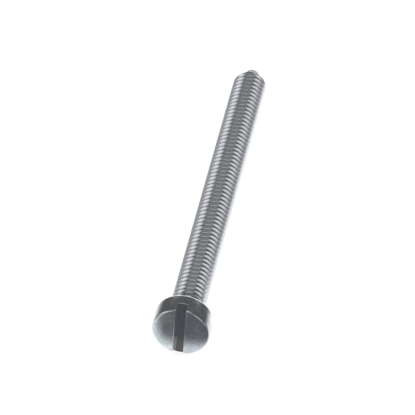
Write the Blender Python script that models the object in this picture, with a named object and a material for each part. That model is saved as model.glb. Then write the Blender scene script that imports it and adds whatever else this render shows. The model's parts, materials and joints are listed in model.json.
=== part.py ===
"""Slotted cheese head machine screw, M4 x 45, threaded right up to the head.

Run with: blender --background --python part.py
Everything is in metres, with +Z up. The screw is one piece of steel, modelled along its own
axis (bearing face at z = 0, tip at z = LENGTH) and then laid down as it comes to rest on a
table: on the rim of its head and the last full crest of its thread, with the tip towards +Y.
"""
import math

import bmesh
import bpy
import numpy as np
from mathutils import Euler, Matrix, Vector

# Driving dimensions
LENGTH = 0.0448                # from the bearing face to the end of the point
THREAD_DIAMETER = 0.00392      # over the crests, an M4 thread of class 6g
THREAD_PITCH = 0.0007          # coarse pitch
THREAD_CREST_SHARE = 1 / 8     # flat on the crest, as a share of the pitch
THREAD_DEPTH_SHARE = 0.6134    # depth of the groove, as a share of the pitch
THREAD_FLANK_DEG = 30.0        # slope of each flank from square to the axis
THREAD_SHIFT = 0.00013         # moves the helix along the axis
POINT_LENGTH = 0.0022          # chamfered end, from the last full crest to the tip
POINT_DIAMETER = 0.0015        # flat at the very end
NECK_LENGTH = 0.0007           # plain stretch between the bearing face and the thread
NECK_FILLET = 0.0002           # rounding where the neck meets the bearing face
HEAD_DIAMETER = 0.00665        # at the bearing face, where it is widest
HEAD_HEIGHT = 0.00282          # from the bearing face to the middle of the driven face
HEAD_DRAFT_DEG = 1.0           # the side narrows this much towards the driven face
HEAD_FACE_ROUNDING = 0.0002    # edge between the side and the driven face
HEAD_BEARING_ROUNDING = 0.0001 # edge between the side and the bearing face
CROWN_FLAT_RADIUS = 0.0012     # the driven face is flat this far out from its middle
CROWN_RADIUS = 0.015           # and falls away on this radius up to its rounded edge
SLOT_WIDTH = 0.0012
SLOT_DEPTH = 0.00126           # from the middle of the driven face
SLOT_TURN_DEG = 3.3            # the slot's turn about the axis, from upright
SLOT_RUNOUT_START = 0.0019     # its floor is flat down to here, measured from the axis,
SLOT_RUNOUT_DEG = 30.0         # and then slopes out towards the underside of the head

# Fineness of the mesh: multiples of 4, so that head and thread each rest on a flat
THREAD_SIDES = 20
HEAD_SIDES = 28
CROWN_STEPS = 4
FACE_ROUNDING_STEPS = 4
BEARING_ROUNDING_STEPS = 2
FILLET_STEPS = 3
SMOOTH_ANGLE_DEG = 28.0

# Derived sizes
CREST_RADIUS = THREAD_DIAMETER / 2
ROOT_RADIUS = CREST_RADIUS - THREAD_DEPTH_SHARE * THREAD_PITCH
NECK_RADIUS = (CREST_RADIUS + ROOT_RADIUS) / 2
FLANK_LENGTH = (CREST_RADIUS - ROOT_RADIUS) * math.tan(math.radians(THREAD_FLANK_DEG))
CREST_LENGTH = THREAD_CREST_SHARE * THREAD_PITCH
ROOT_LENGTH = THREAD_PITCH - CREST_LENGTH - 2 * FLANK_LENGTH
POINT_RADIUS = POINT_DIAMETER / 2
HEAD_RADIUS = HEAD_DIAMETER / 2
FACE_RADIUS = HEAD_RADIUS - HEAD_HEIGHT * math.tan(math.radians(HEAD_DRAFT_DEG))

# Working allowances
SPARE_TURNS = 2                # turns of the endless thread past each end, later cut off
CORE_OVERLAP = 2 * THREAD_PITCH  # how far the blank's core reaches up inside the thread
CUTTER_MARGIN = 0.001
MERGE_DISTANCE = 1e-5
TILT_ROUNDS = 5                # by then the tilt no longer changes


def clear_scene():
    for item in list(bpy.data.objects):
        bpy.data.objects.remove(item, do_unlink=True)


def steel():
    material = bpy.data.materials.new("steel")
    material.use_nodes = True
    shader = material.node_tree.nodes["Principled BSDF"]
    shader.inputs["Base Color"].default_value = (0.60, 0.62, 0.65, 1)
    shader.inputs["Metallic"].default_value = 1.0
    shader.inputs["Roughness"].default_value = 0.3
    return material


def new_object(name, bm):
    """An object from a bmesh, with all its faces pointing out."""
    bmesh.ops.recalc_face_normals(bm, faces=bm.faces)
    mesh = bpy.data.meshes.new(name)
    bm.to_mesh(mesh)
    bm.free()
    item = bpy.data.objects.new(name, mesh)
    bpy.context.scene.collection.objects.link(item)
    return item


def add_outline(bm, outline):
    """Joins (radius, height) points with edges, in the plane y = 0."""
    verts = [bm.verts.new((radius, 0.0, height)) for radius, height in outline]
    return [bm.edges.new(pair) for pair in zip(verts, verts[1:])]


def turn(name, outline, sides):
    """A lathe-turned solid whose outline starts and ends on the axis.

    The first corner is half a side round from +X, so a flat is centred on +Y.
    """
    bm = bmesh.new()
    edges = add_outline(bm, outline)
    bmesh.ops.rotate(bm, verts=bm.verts, matrix=Matrix.Rotation(math.pi / sides, 3, "Z"))
    geometry = list(bm.verts) + edges
    bmesh.ops.spin(
        bm, geom=geometry, axis=(0, 0, 1), cent=(0, 0, 0),
        angle=2 * math.pi, steps=sides, use_merge=True)
    bmesh.ops.remove_doubles(bm, verts=bm.verts, dist=MERGE_DISTANCE)
    return new_object(name, bm)


def arc(centre, radius, start_deg, end_deg, steps):
    """(radius, height) points of a rounding, from one angle to another."""
    points = []
    for step in range(steps + 1):
        angle = math.radians(start_deg + (end_deg - start_deg) * step / steps)
        points.append((centre[0] + radius * math.cos(angle), centre[1] + radius * math.sin(angle)))
    return points


def face_outline():
    """The driven face from its middle to its side: flat, crowned, then rounded over."""
    face_z = -HEAD_HEIGHT
    corner_x = FACE_RADIUS - HEAD_FACE_ROUNDING
    reach = corner_x - CROWN_FLAT_RADIUS
    swing = CROWN_RADIUS - HEAD_FACE_ROUNDING
    corner_z = face_z + CROWN_RADIUS - math.sqrt(swing ** 2 - reach ** 2)
    crown_deg = math.degrees(math.asin(reach / swing))
    crown_centre = (CROWN_FLAT_RADIUS, face_z + CROWN_RADIUS)
    crown = arc(crown_centre, CROWN_RADIUS, -90, crown_deg - 90, CROWN_STEPS)
    corner_centre = (corner_x, corner_z)
    corner = arc(corner_centre, HEAD_FACE_ROUNDING, crown_deg - 90, 0, FACE_ROUNDING_STEPS)
    return [(0.0, face_z)] + crown + corner[1:]


def blank_outline():
    """Head, bearing face, fillet and neck, ending in a core stub inside the thread."""
    rim_corner = (HEAD_RADIUS - HEAD_BEARING_ROUNDING, -HEAD_BEARING_ROUNDING)
    fillet_corner = (NECK_RADIUS + NECK_FILLET, NECK_FILLET)
    core_radius = (ROOT_RADIUS + POINT_RADIUS) / 2
    core_end = NECK_LENGTH + CORE_OVERLAP
    outline = face_outline()
    outline += arc(rim_corner, HEAD_BEARING_ROUNDING, 0, 90, BEARING_ROUNDING_STEPS)
    outline += arc(fillet_corner, NECK_FILLET, 270, 180, FILLET_STEPS)
    outline += [(NECK_RADIUS, NECK_LENGTH), (core_radius, NECK_LENGTH)]
    outline += [(core_radius, core_end), (0.0, core_end)]
    return outline


def groove_outline():
    """One pitch of the thread: root flat, flank, crest flat, flank."""
    flank_top = ROOT_LENGTH + FLANK_LENGTH
    return [
        (ROOT_RADIUS, 0.0),
        (ROOT_RADIUS, ROOT_LENGTH),
        (CREST_RADIUS, flank_top),
        (CREST_RADIUS, flank_top + CREST_LENGTH),
        (ROOT_RADIUS, THREAD_PITCH),
    ]


def endless_thread(name):
    """A right-hand thread that runs past both ends of the threaded stretch.

    One pitch of the outline is swept up a helix, neighbouring turns are merged, and each
    open end is drawn to a point on the axis, which closes the solid.
    """
    turns = math.ceil(LENGTH / THREAD_PITCH) + 2 * SPARE_TURNS
    bottom = THREAD_SHIFT - SPARE_TURNS * THREAD_PITCH
    bm = bmesh.new()
    edges = add_outline(bm, groove_outline())
    half_side = Matrix.Rotation(math.pi / THREAD_SIDES, 3, "Z")
    bmesh.ops.rotate(bm, verts=bm.verts, matrix=half_side)
    bmesh.ops.translate(bm, verts=bm.verts, vec=(0, 0, bottom))
    geometry = list(bm.verts) + edges
    bmesh.ops.spin(
        bm, geom=geometry, axis=(0, 0, 1), cent=(0, 0, 0), dvec=(0, 0, THREAD_PITCH / THREAD_SIDES),
        angle=2 * math.pi * turns, steps=THREAD_SIDES * turns)
    bmesh.ops.remove_doubles(bm, verts=bm.verts, dist=MERGE_DISTANCE)
    middle = bottom + turns * THREAD_PITCH / 2
    open_edges = [edge for edge in bm.edges if edge.is_boundary]
    for side in (-1, 1):
        rim = [edge for edge in open_edges if side * (edge.verts[0].co.z - middle) > 0]
        height = max(side * vert.co.z for edge in rim for vert in edge.verts)
        skirt = bmesh.ops.extrude_edge_only(bm, edges=rim)["geom"]
        new_verts = [item for item in skirt if isinstance(item, bmesh.types.BMVert)]
        apex = Vector((0, 0, side * (height + THREAD_PITCH)))
        bmesh.ops.pointmerge(bm, verts=new_verts, merge_co=apex)
    return new_object(name, bm)


def thread_limits_outline():
    """What the endless thread is cut back to: a run-in cone, then the point's chamfer."""
    outer = CREST_RADIUS + THREAD_PITCH / 2
    inner = (NECK_RADIUS + ROOT_RADIUS) / 2
    run_in = NECK_LENGTH - (NECK_RADIUS - inner)
    slope = POINT_LENGTH / (CREST_RADIUS - POINT_RADIUS)
    return [
        (0.0, run_in),
        (inner, run_in),
        (outer, run_in + outer - inner),
        (outer, LENGTH - (outer - POINT_RADIUS) * slope),
        (POINT_RADIUS, LENGTH),
        (0.0, LENGTH),
    ]


def slot_cutter(name):
    """A block as wide as the slot, longer than the head and sunk SLOT_DEPTH into its face.

    Its inner side is cut off at a slant below SLOT_RUNOUT_START, where the saw ran out.
    """
    bm = bmesh.new()
    bmesh.ops.create_cube(bm, size=1.0)
    height = SLOT_DEPTH + CUTTER_MARGIN
    floor_z = -HEAD_HEIGHT + SLOT_DEPTH
    size = (SLOT_WIDTH, HEAD_DIAMETER + 2 * CUTTER_MARGIN, height)
    bmesh.ops.scale(bm, verts=bm.verts, vec=size)
    bmesh.ops.translate(bm, verts=bm.verts, vec=(0, 0, floor_z - height / 2))
    slant = Matrix.Rotation(math.radians(-SLOT_RUNOUT_DEG), 3, "X") @ Vector((0, 0, 1))
    bmesh.ops.bisect_plane(
        bm, geom=bm.verts[:] + bm.edges[:] + bm.faces[:],
        plane_co=(0, SLOT_RUNOUT_START, floor_z), plane_no=slant, clear_outer=True)
    bmesh.ops.holes_fill(bm, edges=[edge for edge in bm.edges if edge.is_boundary])
    slot_turn = Matrix.Rotation(math.radians(SLOT_TURN_DEG), 3, "Z")
    bmesh.ops.rotate(bm, verts=bm.verts, matrix=slot_turn)
    return new_object(name, bm)


def add_boolean(item, operation, other):
    modifier = item.modifiers.new(operation.lower(), "BOOLEAN")
    modifier.operation = operation
    modifier.solver = "EXACT"
    modifier.object = other


def apply_modifiers(item):
    """Replaces an object's mesh by the one that its modifiers give."""
    graph = bpy.context.evaluated_depsgraph_get()
    finished = bpy.data.meshes.new_from_object(item.evaluated_get(graph))
    item.modifiers.clear()
    item.data = finished


def build_screw():
    """Thread cut to length, joined to the turned blank, then slotted."""
    screw = endless_thread("screw")
    limits = turn("thread_limits", thread_limits_outline(), HEAD_SIDES)
    blank = turn("blank", blank_outline(), HEAD_SIDES)
    cutter = slot_cutter("slot_cutter")
    add_boolean(screw, "INTERSECT", limits)
    add_boolean(screw, "UNION", blank)
    add_boolean(screw, "DIFFERENCE", cutter)
    apply_modifiers(screw)
    for helper in (limits, blank, cutter):
        bpy.data.objects.remove(helper, do_unlink=True)
    screw.data.materials.clear()
    screw.data.materials.append(steel())
    screw.data.shade_smooth()
    screw.data.set_sharp_from_angle(angle=math.radians(SMOOTH_ANGLE_DEG))
    return screw


def resting_tilt(points):
    """How far the tip drops when the screw lies on its head's rim and its thread.

    points holds the screw's own (x, y, z) corners, and its underside faces +Y. The line
    that touches both the rim and the thread is found by turning it until it stays put.
    """
    head = points[points[:, 2] < 0]
    shank = points[points[:, 2] > NECK_LENGTH]
    tilt = 0.0
    for _ in range(TILT_ROUNDS):
        depth = head[:, 1] * math.cos(tilt) + head[:, 2] * math.sin(tilt)
        rim = head[depth.argmax()]
        drops = np.arctan2(rim[1] - shank[:, 1], shank[:, 2] - rim[2])
        tilt = float(drops.min())
    return tilt


def lay_down(screw):
    """Turns the screw from its own axis to lie along +Y, centred over the origin."""
    count = len(screw.data.vertices)
    points = np.empty(count * 3)
    screw.data.vertices.foreach_get("co", points)
    points = points.reshape(count, 3)
    lying = Euler((-math.pi / 2 - resting_tilt(points), 0, 0))
    placed = points @ np.array(lying.to_matrix()).T
    low = placed.min(axis=0)
    high = placed.max(axis=0)
    screw.rotation_euler = lying
    screw.location = (-(low[0] + high[0]) / 2, -(low[1] + high[1]) / 2, -low[2])


def main():
    clear_scene()
    lay_down(build_screw())


main()
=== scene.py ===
"""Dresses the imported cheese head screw: finely cut thread, sawn slot and bare steel.

Run as a script inside Blender. Everything is in metres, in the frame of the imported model,
where the screw lies on the table with its tip towards +Y. The screw is modelled on its own
axes, with the bearing face at 0 and the tip along +Z, and then laid where the frame has it.
"""
import json
import math

import bmesh
import bpy
from bpy.props import FloatProperty, FloatVectorProperty, IntProperty, PointerProperty
from mathutils import Euler, Matrix, Vector


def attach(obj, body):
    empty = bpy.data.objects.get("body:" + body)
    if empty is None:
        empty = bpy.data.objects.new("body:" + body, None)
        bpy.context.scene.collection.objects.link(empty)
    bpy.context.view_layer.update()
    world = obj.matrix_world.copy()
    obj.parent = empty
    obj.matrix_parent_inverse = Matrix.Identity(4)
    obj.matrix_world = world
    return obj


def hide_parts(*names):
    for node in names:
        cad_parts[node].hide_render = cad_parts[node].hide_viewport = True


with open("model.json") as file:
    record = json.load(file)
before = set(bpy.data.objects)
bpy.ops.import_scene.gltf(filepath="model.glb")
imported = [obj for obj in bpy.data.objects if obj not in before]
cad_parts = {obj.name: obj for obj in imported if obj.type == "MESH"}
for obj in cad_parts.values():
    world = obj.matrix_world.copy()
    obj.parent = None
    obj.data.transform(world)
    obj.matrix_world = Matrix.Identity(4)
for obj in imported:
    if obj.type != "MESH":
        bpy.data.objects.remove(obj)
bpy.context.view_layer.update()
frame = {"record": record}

bl_info = {
    "name": "Cheese head screw",
    "version": (1, 0, 0),
    "blender": (4, 5, 0),
    "location": "3D Viewport > Sidebar > Screw",
    "description": "Models a slotted cheese head machine screw and a pale studio for it",
    "category": "Object",
}

BEARING = frame["record"]["mounts"][0]
AXIS = Vector(BEARING["axis"])
BEARING_CENTRE = Vector((0.0, BEARING["pos_m"][1], BEARING["pos_m"][2]))
TILT = math.asin(-AXIS.z)

# The thread's profile.
DEPTH_SHARE = 0.6134       # from crest to root, as a share of the pitch
NECK_DEPTH_SHARE = 0.3067  # from crest to neck, as a share of the pitch
FLANK_ANGLE = math.radians(30)
CREST_SHARE = 1 / 8        # flat crest, as a share of the pitch
EASE = 0.00003             # how far the crest's edges are eased
EASE_SLOPE = 0.577         # of the flank, on which the eased edge begins
EASE_INSET = 0.3           # of the eased edge's top, as a share of the easing

# How the helix begins and ends.
SPARE_TURNS = 2            # cut off at either end
RUN_IN_START = 0.8         # as a share of the neck's length
RUN_IN_LENGTH = 0.9        # as a share of the pitch
NUB_TAPER = 0.55           # share of its radius that the nub loses at its end
NUB_POWER = 6              # how late it loses it

FILLET_STEPS = 5
FACE_STEPS = 8
CUT_SPARE = 0.001          # how far the slot's cutter reaches past the head
SHARP_ANGLE = math.radians(35)
MERGE_DISTANCE = 1e-6
CUT_DISTANCE = 1e-7
RIM_DISTANCE = 1e-5

# Where the steel's masks start and where they are full.
# Painted shade: the thread is painted darker from this far below the crest down into its roots.
GROOVE_SHADE = (0.00008, 0.00032)        # below the crest
HEAD = (0.0001, -0.00002)          # from the bearing face towards the tip
FACE = (0.0004, 0.0002)            # from the driven face towards the tip
# Painted reflection: the driven face is lighter and greener on its left than on its right.
FACE_REFLECTION_SIDES = (-0.0016, 0.0004)      # across the face, from left to right
SLOT_WALL = 0.00001                # softness at the slot's walls
# Painted highlight on the slot's walls, from this far inside them.
SLOT_WALL_SEEN = (0.00003, 0.00001)  # inside the wall
SLOT_DEPTH = (-0.00003, -0.00001)  # from the slot's floor towards the driven face
STAINED = (-0.0002, 0.0001)        # from the start of the run-out
# Painted highlight along the slot's left wall in the run-out.
LIT_LEFT_WALL = (0.0003, 0.0002)          # from the slot's left wall
SHEARED = 0.0003                   # before the nub
LIP_SIDES = (0.0002, -0.0002)      # from the slot's right side to its left
LIP_LEAST = 0.6                    # of the right lip, where the left one has 1.6

# Studio fields. A window is an axis, where it starts and where it is full; a fourth number is
# what it leaves outside. "across" is the distance from x = 0.
BEHIND = ("y", -0.1, 0.2)
BEFORE = ("y", 0.2, -0.1)
# "front" is how far a ray points away from the head, and a little upwards: shares of z and -y.
FRONT = (0.30, 0.95)
# The light that steel mirrors, by the unit direction of the mirrored ray: level and windows.
LIGHT_FIELDS = {
    "low_behind_left": (0.85, (BEHIND, ("z", -0.12, -0.60), ("x", 0.1, -0.1))),
    "low_behind_right": (1.05, (BEHIND, ("z", -0.10, -0.50), ("x", -0.1, 0.1))),
    "tall_left": (0.92, (
        BEFORE, ("z", 0.55, 0.42), ("z", 0.06, 0.27, 0.26 / 0.92), ("x", -0.28, -0.46))),
    "low_before_right": (1.0, (BEFORE, ("z", -0.35, -0.60), ("x", 0.30, 0.50))),
    "horizon_behind": (2.0, (("z", 0.36, 0.24), ("y", 0.60, 0.80), ("across", 0.50, 0.35))),
    "tall_right": (0.75, (
        BEFORE, ("z", 0.46, 0.36), ("z", -0.25, -0.12), ("x", 0.22, 0.42), ("x", 0.80, 0.66))),
    "far_right": (0.22, (BEFORE, ("z", 0.05, -0.05), ("x", 0.45, 0.60))),
    "front": (0.11, (("front", 0.80, 0.97),)),
    "ceiling": (0.75, (("z", 0.84, 0.93),)),
}

# The card that the driven face mirrors, in metres on the table. "slant" is x less this much y.
SLANT = 0.45
CARD = (("across", 0.016, 0.013), ("y", -0.040, -0.036), ("y", -0.0205, -0.0225))
CARD_DARK = (("y", -0.0238, -0.0273), ("slant", 0.0066, 0.0098))
# The strip of pale table that the shank's left side mirrors.
STRIP = (
    ("x", -0.0056, -0.0044), ("x", 0.0, -0.0010), ("y", -0.0200, -0.0180), ("y", 0.027, 0.025))
CARD_HEIGHT = 0.00002

LAMP_PLACE = (0.55, 0.1, 0.35)
LAMP_SIZE = (0.3, 0.5)


class ScrewSizes(bpy.types.PropertyGroup):
    """Sizes of the screw."""

    length: FloatProperty(
        name="Length", description="From the bearing face to the end of the point",
        default=0.0448, unit="LENGTH")
    thread_diameter: FloatProperty(
        name="Thread diameter", description="Over the crests", default=0.00392, unit="LENGTH")
    pitch: FloatProperty(
        name="Pitch", description="From one crest to the next", default=0.0007, unit="LENGTH")
    thread_shift: FloatProperty(
        name="Thread shift", description="Moves the helix along the axis",
        default=0.00022, unit="LENGTH")
    thread_sides: IntProperty(
        name="Thread sides", description="Steps of the helix in one turn", default=90)
    neck_length: FloatProperty(
        name="Neck length", description="Plain stretch under the head",
        default=0.0007, unit="LENGTH")
    neck_fillet: FloatProperty(
        name="Neck fillet", description="Rounding between neck and bearing face",
        default=0.0002, unit="LENGTH")
    point_length: FloatProperty(
        name="Point length", description="From the last full crest to the end",
        default=0.0022, unit="LENGTH")
    nub_diameter: FloatProperty(
        name="Nub diameter", description="Of the blunt nub at the end",
        default=0.0017, unit="LENGTH")
    nub_length: FloatProperty(
        name="Nub length", description="Length of the blunt nub", default=0.0009, unit="LENGTH")
    head_diameter: FloatProperty(
        name="Head diameter", description="Where the head is widest",
        default=0.00665, unit="LENGTH")
    head_height: FloatProperty(
        name="Head height", description="From bearing face to driven face",
        default=0.00282, unit="LENGTH")
    head_draft: FloatProperty(
        name="Head draft", description="The side narrows this much towards the driven face",
        default=math.radians(1.0), subtype="ANGLE")
    face_rounding: FloatProperty(
        name="Face rounding", description="Edge between side and driven face",
        default=0.00022, unit="LENGTH")
    bearing_rounding: FloatProperty(
        name="Bearing rounding", description="Edge between side and bearing face",
        default=0.0003, unit="LENGTH")
    crown_flat: FloatProperty(
        name="Crown flat", description="The face is flat this far from its middle",
        default=0.0012, unit="LENGTH")
    crown_radius: FloatProperty(
        name="Crown radius", description="The face falls away on this radius",
        default=0.015, unit="LENGTH")
    slot_width: FloatProperty(
        name="Slot width", description="Between the slot's walls", default=0.0012, unit="LENGTH")
    slot_depth: FloatProperty(
        name="Slot depth", description="From the middle of the driven face",
        default=0.00126, unit="LENGTH")
    slot_turn: FloatProperty(
        name="Slot turn", description="The slot's turn from upright",
        default=math.radians(3.3), subtype="ANGLE")
    slot_offset: FloatProperty(
        name="Slot offset", description="How far the slot is off the middle",
        default=-0.00012, unit="LENGTH")
    runout_start: FloatProperty(
        name="Run-out start", description="The floor is flat this far below the axis",
        default=0.0019, unit="LENGTH")
    runout_slope: FloatProperty(
        name="Run-out slope", description="Of the slot's floor further down",
        default=math.radians(30.0), subtype="ANGLE")


class ScrewFinish(bpy.types.PropertyGroup):
    """Colours and roughness of the steel."""

    steel_color: FloatVectorProperty(
        name="Steel", description="Flanks and crests of the thread",
        default=(0.80, 0.83, 0.87), size=3, subtype="COLOR")
    # Painted shade: the colour painted into the thread's roots and lower flanks.
    groove_shade_color: FloatVectorProperty(
        name="Groove", description="Roots of the thread",
        default=(0.55, 0.55, 0.57), size=3, subtype="COLOR")
    # Painted reflection: the face's left is painted lighter and greener than its right.
    green_color: FloatVectorProperty(
        name="Face, left", description="Greenish side of the driven face",
        default=(0.87, 0.93, 0.95), size=3, subtype="COLOR")
    blue_color: FloatVectorProperty(
        name="Face, right", description="Bluish side of the driven face",
        default=(0.78, 0.81, 0.88), size=3, subtype="COLOR")
    side_color: FloatVectorProperty(
        name="Head side", description="Formed side of the head",
        default=(0.76, 0.78, 0.82), size=3, subtype="COLOR")
    # Painted shade: the slot is painted darker than the head, as shade in the recess.
    slot_shade_color: FloatVectorProperty(
        name="Slot", description="Cut surfaces of the slot",
        default=(0.46, 0.48, 0.53), size=3, subtype="COLOR")
    # Brownish stain streaks, as dark as the slot's painted shade.
    streak_color: FloatVectorProperty(
        name="Streaks", description="Stain in the slot's run-out",
        default=(0.46, 0.44, 0.39), size=3, subtype="COLOR")
    # Painted highlight: the bright colour of the slot's walls and of its left wall's run-out.
    slot_highlight_color: FloatVectorProperty(
        name="Slot wall highlights", description="Painted highlight on the slot's walls",
        default=(0.90, 0.91, 0.93), size=3, subtype="COLOR")
    stain_least: FloatProperty(
        name="Clean share", description="What stains leave of the head's colour", default=0.78)
    stain_share: FloatProperty(
        name="Stain share", description="What each of two stains takes of it", default=0.14)
    roughness: FloatProperty(
        name="Roughness", description="Of the bare steel", default=0.17)
    grain_roughness: FloatProperty(
        name="Grain roughness", description="Added by the grain", default=0.06)
    grain_height: FloatProperty(
        name="Grain height", description="Of the grain's bump", default=0.000001, unit="LENGTH")
    lip_height: FloatProperty(
        name="Lip height", description="Of the bump along the slot's edges",
        default=0.000025, unit="LENGTH")
    lip_width: FloatProperty(
        name="Lip width", description="Of the bump along the slot's edges",
        default=0.00007, unit="LENGTH")
    point_roughness: FloatProperty(
        name="Point roughness", description="Added where the blank was sheared off", default=0.3)
    point_dulling: FloatProperty(
        name="Point dulling", description="Metal shine that the sheared end has lost",
        default=0.35)


class StageSettings(bpy.types.PropertyGroup):
    """Floor, light and camera."""

    floor_size: FloatProperty(
        name="Floor size", description="Side of the floor", default=8.0, unit="LENGTH")
    floor_color: FloatVectorProperty(
        name="Floor", description="Lit colour of the floor",
        default=(0.2, 0.2, 0.2), size=3, subtype="COLOR")
    floor_glow: FloatProperty(
        name="Floor glow", description="White added to it for camera rays", default=0.86)
    sky_level: FloatProperty(
        name="Sky level", description="Plain light from all around", default=0.5)
    room_level: FloatProperty(
        name="Room level", description="What polished steel mirrors of the dark room",
        default=0.12)
    paper_color: FloatVectorProperty(
        name="Paper", description="Light part of the card, and the strip by the shank",
        default=(0.87, 0.90, 0.90), size=3, subtype="COLOR")
    card_color: FloatVectorProperty(
        name="Card", description="Dark part of the card before the head",
        default=(0.14, 0.14, 0.1484), size=3, subtype="COLOR")
    lamp_power: FloatProperty(
        name="Lamp power", description="Of each soft lamp, in watts", default=4.0)
    camera_distance: FloatProperty(
        name="Camera distance", description="Along the view to the bearing face",
        default=0.497, unit="LENGTH")
    camera_right: FloatProperty(
        name="Camera right", description="Shift to the right of the bearing face",
        default=0.002555, unit="LENGTH")
    camera_up: FloatProperty(
        name="Camera up", description="Shift upwards from the bearing face",
        default=0.012292, unit="LENGTH")
    camera_lens: FloatProperty(
        name="Camera lens", description="Focal length in millimetres", default=382.6)
    camera_elevation: FloatProperty(
        name="Camera elevation", description="How steeply it looks down",
        default=math.radians(42.03), subtype="ANGLE")
    camera_azimuth: FloatProperty(
        name="Camera azimuth", description="Turn of its view from +Y towards -X",
        default=math.radians(10.32), subtype="ANGLE")


class Wire:
    """A node's output socket. Arithmetic on it adds Math nodes."""

    def __init__(self, tree, socket=None):
        self.tree = tree
        self.socket = socket

    def node(self, kind, settings=None, inputs=None, output=0):
        """Adds a node, makes its settings, fills its sockets and returns one output."""
        node = self.tree.nodes.new(kind)
        for name, value in (settings or {}).items():
            setattr(node, name, value)
        for name, value in (inputs or {}).items():
            if isinstance(value, Wire):
                self.tree.links.new(value.socket, node.inputs[name])
            else:
                node.inputs[name].default_value = value
        return Wire(self.tree, node.outputs[output])

    def math(self, operation, *values):
        return self.node("ShaderNodeMath", {"operation": operation}, dict(enumerate(values)))

    def __add__(self, other):
        return self.math("ADD", self, other)

    def __radd__(self, other):
        return self.math("ADD", other, self)

    def __sub__(self, other):
        return self.math("SUBTRACT", self, other)

    def __rsub__(self, other):
        return self.math("SUBTRACT", other, self)

    def __mul__(self, other):
        return self.math("MULTIPLY", self, other)

    def __rmul__(self, other):
        return self.math("MULTIPLY", other, self)

    def ramp(self, start, full, outside=0.0):
        """1 from full onwards and outside before start, with a smooth step between."""
        rising = start < full
        return self.node(
            "ShaderNodeMapRange", {"interpolation_type": "SMOOTHSTEP"},
            {"Value": self, "From Min": min(start, full), "From Max": max(start, full),
             "To Min": outside if rising else 1.0, "To Max": 1.0 if rising else outside})

    def axes(self):
        """The x, y and z of a vector."""
        node = self.node("ShaderNodeSeparateXYZ", inputs={"Vector": self}).socket.node
        return [Wire(self.tree, output) for output in node.outputs]

    def noise(self, scale, detail, roughness):
        """Noise over a place."""
        return self.node(
            "ShaderNodeTexNoise", {"noise_dimensions": "3D"},
            {"Vector": self, "Scale": scale, "Detail": detail, "Roughness": roughness})

    def scaled(self, color, factor):
        """A colour times a number."""
        return self.node(
            "ShaderNodeVectorMath", {"operation": "SCALE"}, {0: color, "Scale": factor})

    def mix(self, factor, first, second):
        """A colour between first and second. 6 and 7 are the node's colour sockets."""
        return self.node(
            "ShaderNodeMix", {"data_type": "RGBA"}, {0: factor, 6: first, 7: second}, 2)

    def link(self, node, name):
        """Leads to a named input of a node."""
        self.tree.links.new(self.socket, node.inputs[name])


def windowed(axes, windows):
    """1 inside all windows, with the soft edges that they name."""
    share = 1.0
    for name, *edges in windows:
        share = share * axes[name].ramp(*edges)
    return share


def opaque(color):
    return (*color, 1.0)


def linked_object(name, bm):
    """An object at the origin from a bmesh."""
    mesh = bpy.data.meshes.new(name)
    bm.to_mesh(mesh)
    bm.free()
    item = bpy.data.objects.new(name, mesh)
    bpy.context.scene.collection.objects.link(item)
    return item


def everything(bm):
    return list(bm.verts) + list(bm.edges) + list(bm.faces)


def only_verts(geometry):
    return [item for item in geometry if isinstance(item, bmesh.types.BMVert)]


def clamped(value):
    """The value, held between 0 and 1."""
    return min(max(value, 0.0), 1.0)


def smooth_step(value):
    value = clamped(value)
    return value * value * (3 - 2 * value)


def neck_radius(sizes):
    return sizes.thread_diameter / 2 - NECK_DEPTH_SHARE * sizes.pitch


def thread_profile(sizes):
    """(radius, height) of one pitch: root flat, flank, crest with eased edges, flank."""
    crest = sizes.thread_diameter / 2
    depth = DEPTH_SHARE * sizes.pitch
    root = crest - depth
    flank = depth * math.tan(FLANK_ANGLE)
    top = CREST_SHARE * sizes.pitch
    rise = sizes.pitch - top - flank
    return [
        (root, 0.0),
        (root, rise - flank),
        (crest - EASE, rise - EASE_SLOPE * EASE),
        (crest, rise + EASE_INSET * EASE),
        (crest, rise + top - EASE_INSET * EASE),
        (crest - EASE, rise + top + EASE_SLOPE * EASE),
        (root, sizes.pitch),
    ]


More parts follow.
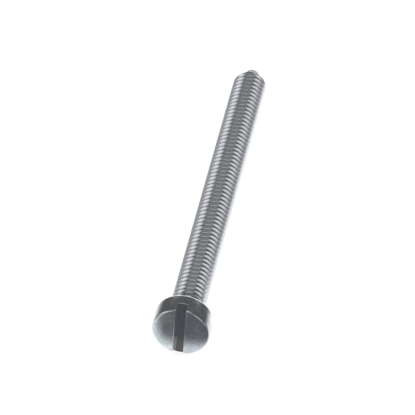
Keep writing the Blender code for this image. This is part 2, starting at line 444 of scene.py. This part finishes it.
def swept_thread(sizes):
    """An open tube: the helix, eased into the neck and cut down to the point."""
    bm = bmesh.new()
    bottom = sizes.thread_shift - SPARE_TURNS * sizes.pitch
    verts = [
        bm.verts.new((radius, 0.0, height + bottom)) for radius, height in thread_profile(sizes)]
    edges = [bm.edges.new(pair) for pair in zip(verts, verts[1:])]
    bmesh.ops.spin(
        bm, geom=verts + edges, axis=(0, 0, 1), cent=(0, 0, 0),
        dvec=(0, 0, sizes.pitch / sizes.thread_sides), angle=2 * math.pi,
        steps=sizes.thread_sides)
    turns = math.ceil(sizes.length / sizes.pitch) + 2 * SPARE_TURNS
    made = 1
    while made < turns:
        copied = bmesh.ops.duplicate(bm, geom=everything(bm))
        bmesh.ops.translate(
            bm, verts=only_verts(copied["geom"]), vec=(0, 0, made * sizes.pitch))
        made *= 2
    beyond = [vert for vert in bm.verts if vert.co.z > sizes.length + sizes.pitch]
    bmesh.ops.delete(bm, geom=beyond, context="VERTS")
    bmesh.ops.remove_doubles(bm, verts=bm.verts, dist=MERGE_DISTANCE)

    neck = neck_radius(sizes)
    nub = sizes.nub_diameter / 2
    nub_start = sizes.length - sizes.nub_length
    slope = (sizes.thread_diameter / 2 - nub) / (sizes.point_length - sizes.nub_length)
    for vert in bm.verts:
        radius = math.hypot(vert.co.x, vert.co.y)
        run_in = vert.co.z - RUN_IN_START * sizes.neck_length
        share = smooth_step(run_in / (RUN_IN_LENGTH * sizes.pitch))
        wanted = neck + (radius - neck) * share
        into_nub = vert.co.z - nub_start
        dome = nub * (1 - NUB_TAPER * clamped(into_nub / sizes.nub_length) ** NUB_POWER)
        wanted = min(wanted, dome + slope * max(-into_nub, 0.0))
        vert.co.x *= wanted / radius
        vert.co.y *= wanted / radius
    for height, direction in ((sizes.neck_fillet, -1), (sizes.length, 1)):
        bmesh.ops.bisect_plane(
            bm, geom=everything(bm), dist=CUT_DISTANCE, plane_co=(0, 0, height),
            plane_no=(0, 0, direction), clear_outer=True)
    bmesh.ops.remove_doubles(bm, verts=bm.verts, dist=MERGE_DISTANCE)
    return bm


def grow_rim(bm, rim, outline):
    """Extrudes a round rim of edges through (radius, height) steps and returns the last."""
    for radius, height in outline:
        grown = bmesh.ops.extrude_edge_only(bm, edges=rim)["geom"]
        verts = only_verts(grown)
        fresh = set(verts)
        rim = [
            item for item in grown
            if isinstance(item, bmesh.types.BMEdge) and fresh.issuperset(item.verts)]
        old = math.hypot(verts[0].co.x, verts[0].co.y)
        bmesh.ops.scale(bm, verts=verts, vec=(radius / old, radius / old, 1))
        bmesh.ops.translate(bm, verts=verts, vec=(0, 0, height - verts[0].co.z))
    return rim


def arc(centre, radius, start_deg, end_deg, steps):
    """(radius, height) points of a rounding, from one angle to another."""
    points = []
    for step in range(steps + 1):
        turn = math.radians(start_deg + (end_deg - start_deg) * step / steps)
        points.append((centre[0] + radius * math.cos(turn), centre[1] + radius * math.sin(turn)))
    return points


def head_outline(sizes):
    """From the neck over the bearing face, side and rounded edge to the face's middle."""
    outer = sizes.head_diameter / 2
    narrow = outer - sizes.head_height * math.tan(sizes.head_draft)
    corner_x = narrow - sizes.face_rounding
    reach = corner_x - sizes.crown_flat
    swing = sizes.crown_radius - sizes.face_rounding
    crown_z = sizes.crown_radius - sizes.head_height
    corner_z = crown_z - math.sqrt(swing ** 2 - reach ** 2)
    crown_deg = math.degrees(math.asin(reach / swing))
    fillet = arc(
        (neck_radius(sizes) + sizes.neck_fillet, sizes.neck_fillet), sizes.neck_fillet,
        180, 270, FILLET_STEPS)
    rim = arc(
        (outer - sizes.bearing_rounding, -sizes.bearing_rounding), sizes.bearing_rounding,
        90, 0, FILLET_STEPS)
    corner = arc(
        (corner_x, corner_z), sizes.face_rounding, 0, crown_deg - 90, FACE_STEPS)
    crown = arc(
        (sizes.crown_flat, crown_z), sizes.crown_radius, crown_deg - 90, -90, FACE_STEPS)
    return fillet[1:] + rim + corner + crown[1:]


def close_rim(bm, rim, height):
    """Draws a rim to a point on the axis."""
    grown = bmesh.ops.extrude_edge_only(bm, edges=rim)["geom"]
    bmesh.ops.pointmerge(bm, verts=only_verts(grown), merge_co=Vector((0, 0, height)))


def end_rim(bm, height):
    """The open edges at a height."""
    return [
        edge for edge in bm.edges
        if edge.is_boundary
        and all(abs(vert.co.z - height) < RIM_DISTANCE for vert in edge.verts)]


def slot_cutter(sizes):
    """A block as wide as the slot, its inner side cut off at a slant where the saw ran out."""
    bm = bmesh.new()
    bmesh.ops.create_cube(bm, size=1.0)
    height = sizes.slot_depth + CUT_SPARE
    floor_z = sizes.slot_depth - sizes.head_height
    bmesh.ops.scale(
        bm, verts=bm.verts, vec=(sizes.slot_width, sizes.head_diameter + 2 * CUT_SPARE, height))
    bmesh.ops.translate(bm, verts=bm.verts, vec=(sizes.slot_offset, 0, floor_z - height / 2))
    slant = Matrix.Rotation(-sizes.runout_slope, 3, "X") @ Vector((0, 0, 1))
    bmesh.ops.bisect_plane(
        bm, geom=everything(bm), plane_co=(0, sizes.runout_start, floor_z), plane_no=slant,
        clear_outer=True)
    bmesh.ops.holes_fill(bm, edges=[edge for edge in bm.edges if edge.is_boundary])
    bmesh.ops.rotate(bm, verts=bm.verts, matrix=Matrix.Rotation(sizes.slot_turn, 3, "Z"))
    bmesh.ops.recalc_face_normals(bm, faces=bm.faces)
    cutter = linked_object("slot_cutter", bm)
    cutter.hide_render = True
    cutter.display_type = "WIRE"
    return cutter


def cut_away(item, cutter):
    """Subtracts the cutter from an object's mesh and removes the cutter."""
    modifier = item.modifiers.new("slot", "BOOLEAN")
    modifier.operation = "DIFFERENCE"
    modifier.solver = "EXACT"
    modifier.object = cutter
    graph = bpy.context.evaluated_depsgraph_get()
    finished = bpy.data.meshes.new_from_object(item.evaluated_get(graph))
    item.modifiers.clear()
    item.data = finished
    bpy.data.objects.remove(cutter, do_unlink=True)


def local_place():
    """From the screw's own axes to where it lies."""
    turn = Euler((-math.pi / 2 - TILT, 0, 0)).to_matrix().to_4x4()
    return Matrix.Translation(BEARING_CENTRE) @ turn


def steel_material(sizes, finish):
    """Bare steel: rolled thread, formed head, cut slot, sheared point; with painted shade in the
    thread's roots and in the slot, painted highlights on the slot's walls, and a painted
    reflection across the driven face.
    """
    material = bpy.data.materials.new("steel")
    material.use_nodes = True
    tree = material.node_tree
    shader = tree.nodes["Principled BSDF"]
    base = Wire(tree)
    place = base.node("ShaderNodeTexCoord", output="Object")
    inverse = local_place().inverted()
    own = base.node(
        "ShaderNodeMapping", {"vector_type": "POINT"},
        {"Vector": place, "Location": inverse.to_translation(),
         "Rotation": inverse.to_euler()})
    x, y, z = own.axes()
    turn = sizes.slot_turn
    sideways = x * math.cos(turn) + y * math.sin(turn) - sizes.slot_offset
    across = base.math("ABSOLUTE", sideways)
    along = y * math.cos(turn) - x * math.sin(turn)

    mottle = own.noise(3000.0, 3.0, 0.6)
    cloud = own.noise(700.0, 2.0, 0.5)
    grain = own.noise(6000.0, 3.0, 0.6)

    crest = sizes.thread_diameter / 2
    radius = base.math("SQRT", x * x + y * y)
    # Painted shade, darker from just below the crest down into the roots.
    groove_shade = radius.ramp(crest - GROOVE_SHADE[0], crest - GROOVE_SHADE[1])
    thread = base.mix(groove_shade, opaque(finish.steel_color), opaque(finish.groove_shade_color))

    stain = (
        finish.stain_least + mottle.ramp(0.35, 0.65) * finish.stain_share
        + cloud.ramp(0.35, 0.65) * finish.stain_share)
    side = base.scaled(tuple(finish.side_color), stain)
    # Painted reflection: the face is painted lighter and greener towards its left.
    face = base.mix(
        x.ramp(*FACE_REFLECTION_SIDES), opaque(finish.green_color), opaque(finish.blue_color))
    face = base.scaled(face, stain)
    front = z.ramp(FACE[0] - sizes.head_height, FACE[1] - sizes.head_height)
    head = base.mix(front, side, face)

    half = sizes.slot_width / 2
    run_out = base.math("MAXIMUM", along - sizes.runout_start, 0.0)
    floor_z = sizes.slot_depth - sizes.head_height
    depth = floor_z - run_out * math.tan(sizes.runout_slope) - z
    slotted = across.ramp(half + SLOT_WALL, half - SLOT_WALL) * depth.ramp(*SLOT_DEPTH)
    scratches = base.node(
        "ShaderNodeTexNoise", {"noise_dimensions": "1D"},
        {"W": sideways, "Scale": 9000.0, "Detail": 3.0})
    streaks_and_highlight = base.mix(
        scratches.ramp(0.4, 0.6), opaque(finish.streak_color), opaque(finish.slot_shade_color))
    # Painted highlight along the slot's left wall, in the run-out.
    lit_left_wall = sideways.ramp(LIT_LEFT_WALL[0] - half, LIT_LEFT_WALL[1] - half)
    streaks_and_highlight = base.mix(lit_left_wall, streaks_and_highlight, opaque(finish.slot_highlight_color))
    stained = along.ramp(STAINED[0] + sizes.runout_start, STAINED[1] + sizes.runout_start)
    # Painted shade over the whole slot, with stain streaks in its run-out.
    slot = base.mix(stained, opaque(finish.slot_shade_color), streaks_and_highlight)
    # Painted highlight on the slot's walls.
    wall = across.ramp(half - SLOT_WALL_SEEN[0], half - SLOT_WALL_SEEN[1])
    slot = base.mix(wall, slot, opaque(finish.slot_highlight_color))
    head = base.mix(slotted, head, slot)

    in_head = z.ramp(*HEAD)
    base.mix(in_head, thread, head).link(shader, "Base Color")

    nub_start = sizes.length - sizes.nub_length
    sheared = z.ramp(nub_start - SHEARED, nub_start)
    rough = finish.roughness + grain * finish.grain_roughness
    (rough + sheared * finish.point_roughness).link(shader, "Roughness")
    (1.0 - sheared * finish.point_dulling).link(shader, "Metallic")

    off_slot = base.math("MAXIMUM", across - half, -1.0 * depth)
    lip = off_slot.ramp(0.0, finish.lip_width) * in_head
    lip = lip * (LIP_LEAST + sideways.ramp(*LIP_SIDES)) * finish.lip_height
    bump = base.node(
        "ShaderNodeBump", inputs={"Distance": 1.0, "Height": grain * finish.grain_height + lip})
    bump.link(shader, "Normal")
    return material


class SCREW_OT_model(bpy.types.Operator):
    """Model the screw and lay it where the frame has it"""

    bl_idname = "screw.model"
    bl_label = "Model the screw"

    def execute(self, context):
        sizes = context.scene.screw_sizes
        bm = swept_thread(sizes)
        head_rim = end_rim(bm, sizes.neck_fillet)
        face_rim = grow_rim(bm, head_rim, head_outline(sizes))
        close_rim(bm, face_rim, -sizes.head_height)
        close_rim(bm, end_rim(bm, sizes.length), sizes.length)
        bmesh.ops.recalc_face_normals(bm, faces=bm.faces)
        open_edges = [edge for edge in bm.edges if not edge.is_manifold]
        if open_edges:
            raise RuntimeError(f"the screw's mesh has {len(open_edges)} open edges")
        screw = linked_object("cheese_head_screw", bm)
        cut_away(screw, slot_cutter(sizes))
        screw.data.transform(local_place())
        screw.data.materials.clear()
        screw.data.materials.append(steel_material(sizes, context.scene.screw_finish))
        screw.data.shade_smooth()
        screw.data.set_sharp_from_angle(angle=SHARP_ANGLE)
        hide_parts("screw")
        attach(screw, "root")
        return {"FINISHED"}


def bare_material(name):
    """A material without nodes, and the start of a wire in it."""
    material = bpy.data.materials.new(name)
    material.use_nodes = True
    material.node_tree.nodes.clear()
    return material, Wire(material.node_tree)


def finish_material(tree, surface):
    output = tree.nodes.new("ShaderNodeOutputMaterial")
    surface.link(output, "Surface")


def floor_material(stage):
    """A lit pale floor, with white added for camera, glossy and transmission rays."""
    material, base = bare_material("pale_floor")
    camera, glossy, through = (
        base.node("ShaderNodeLightPath", output=f"Is {kind} Ray")
        for kind in ("Camera", "Glossy", "Transmission"))
    seen = base.math("MAXIMUM", camera, base.math("MAXIMUM", glossy, through))
    glow = base.node("ShaderNodeEmission", inputs={"Color": seen * stage.floor_glow})
    lit = base.node("ShaderNodeBsdfDiffuse", inputs={"Color": opaque(stage.floor_color)})
    both = base.node("ShaderNodeAddShader", inputs={0: glow, 1: lit})
    finish_material(material.node_tree, both)
    return material


def card_material(stage):
    """What the screw mirrors of the table: a card before the face, a strip by the shank."""
    material, base = bare_material("face_card")
    x, y, _ = base.node("ShaderNodeTexCoord", output="Object").axes()
    axes = {"x": x, "y": y, "across": base.math("ABSOLUTE", x), "slant": x - y * SLANT}
    card = windowed(axes, CARD)
    dark = windowed(axes, CARD_DARK)
    strip = windowed(axes, STRIP)
    tone = base.mix(dark, opaque(stage.paper_color), opaque(stage.card_color))
    clear = base.node("ShaderNodeBsdfTransparent")
    glow = base.node("ShaderNodeEmission", inputs={"Color": tone})
    seen = base.math("MAXIMUM", card, strip)
    both = base.node("ShaderNodeMixShader", inputs={0: seen, 1: clear, 2: glow})
    finish_material(material.node_tree, both)
    return material


def studio_world(stage):
    """White for the camera, plain light for all else, a room of light fields for reflections."""
    world = bpy.data.worlds.new("studio")
    world.use_nodes = True
    base = Wire(world.node_tree)
    x, y, z = base.node("ShaderNodeTexCoord", output="Generated").axes()
    axes = {
        "x": x, "y": y, "z": z, "across": base.math("ABSOLUTE", x),
        "front": z * FRONT[0] - y * FRONT[1]}
    fields = 0.0
    for level, windows in LIGHT_FIELDS.values():
        fields = base.math("MAXIMUM", fields, windowed(axes, windows) * level)
    room = stage.room_level + fields * (1.0 - stage.room_level)
    glossy = base.node("ShaderNodeLightPath", output="Is Glossy Ray")
    camera = base.node("ShaderNodeLightPath", output="Is Camera Ray")
    level = base.node(
        "ShaderNodeMix", {"data_type": "FLOAT"}, {0: glossy, 2: stage.sky_level, 3: room})
    level = base.math("MAXIMUM", level, camera)
    level.link(world.node_tree.nodes["Background"], "Color")
    return world


def add_lamp(name, place, power):
    """A soft rectangular lamp that faces the origin and stays out of reflections."""
    lamp = bpy.data.lights.new(name, "AREA")
    lamp.shape = "RECTANGLE"
    lamp.size, lamp.size_y = LAMP_SIZE
    lamp.energy = power
    item = bpy.data.objects.new(name, lamp)
    item.location = place
    item.rotation_euler = (-Vector(place)).to_track_quat("-Z", "Y").to_euler()
    item.visible_glossy = False
    bpy.context.scene.collection.objects.link(item)


def flat_sheet(name, size, height, material):
    """A level square about the origin."""
    bm = bmesh.new()
    bmesh.ops.create_grid(bm, x_segments=1, y_segments=1, size=size / 2)
    bmesh.ops.translate(bm, verts=bm.verts, vec=(0, 0, height))
    sheet = linked_object(name, bm)
    sheet.data.materials.append(material)
    return sheet


class SCREW_OT_stage(bpy.types.Operator):
    """Add the pale floor, the soft light and the camera"""

    bl_idname = "screw.stage"
    bl_label = "Set up the stage"

    def execute(self, context):
        stage = context.scene.screw_stage
        floor = flat_sheet("floor", stage.floor_size, 0.0, floor_material(stage))
        floor.visible_glossy = False

        card = flat_sheet("face_card", stage.floor_size, CARD_HEIGHT, card_material(stage))
        card.visible_camera = False
        card.visible_diffuse = False
        card.visible_transmission = False
        card.visible_shadow = False

        context.scene.world = studio_world(stage)
        for name, side in (("left_soft_box", -1), ("right_soft_box", 1)):
            add_lamp(name, (side * LAMP_PLACE[0], *LAMP_PLACE[1:]), stage.lamp_power)

        turn = stage.camera_azimuth
        rise = stage.camera_elevation
        ahead = Vector((-math.sin(turn), math.cos(turn), 0))
        right = Vector((math.cos(turn), math.sin(turn), 0))
        forward = math.cos(rise) * ahead - math.sin(rise) * Vector((0, 0, 1))
        up = math.sin(rise) * ahead + math.cos(rise) * Vector((0, 0, 1))
        place = BEARING_CENTRE + stage.camera_right * right + stage.camera_up * up
        place -= stage.camera_distance * forward
        camera = bpy.data.objects.new("camera", bpy.data.cameras.new("camera"))
        camera.data.sensor_width = 36.0
        camera.data.lens = stage.camera_lens
        camera.data.clip_start = 0.01
        camera.data.clip_end = 50.0
        camera.location = place
        camera.rotation_euler = Matrix((right, up, -forward)).transposed().to_euler()
        context.scene.collection.objects.link(camera)
        context.scene.camera = camera
        context.scene.view_settings.view_transform = "Standard"
        return {"FINISHED"}


class SCREW_PT_sidebar(bpy.types.Panel):
    """Sizes, finish and stage of the screw"""

    bl_idname = "SCREW_PT_sidebar"
    bl_label = "Cheese head screw"
    bl_space_type = "VIEW_3D"
    bl_region_type = "UI"
    bl_category = "Screw"

    def draw(self, context):
        layout = self.layout
        for group in ("screw_sizes", "screw_finish", "screw_stage"):
            settings = getattr(context.scene, group)
            for name in settings.__annotations__:
                layout.prop(settings, name)
        layout.operator(SCREW_OT_model.bl_idname)
        layout.operator(SCREW_OT_stage.bl_idname)


CLASSES = (
    ScrewSizes, ScrewFinish, StageSettings, SCREW_OT_model, SCREW_OT_stage, SCREW_PT_sidebar)


def register():
    for cls in CLASSES:
        bpy.utils.register_class(cls)
    bpy.types.Scene.screw_sizes = PointerProperty(type=ScrewSizes)
    bpy.types.Scene.screw_finish = PointerProperty(type=ScrewFinish)
    bpy.types.Scene.screw_stage = PointerProperty(type=StageSettings)


def unregister():
    del bpy.types.Scene.screw_sizes
    del bpy.types.Scene.screw_finish
    del bpy.types.Scene.screw_stage
    for cls in reversed(CLASSES):
        bpy.utils.unregister_class(cls)


def main():
    register()
    bpy.ops.screw.model()
    bpy.ops.screw.stage()


if __name__ == "__main__":
    main()
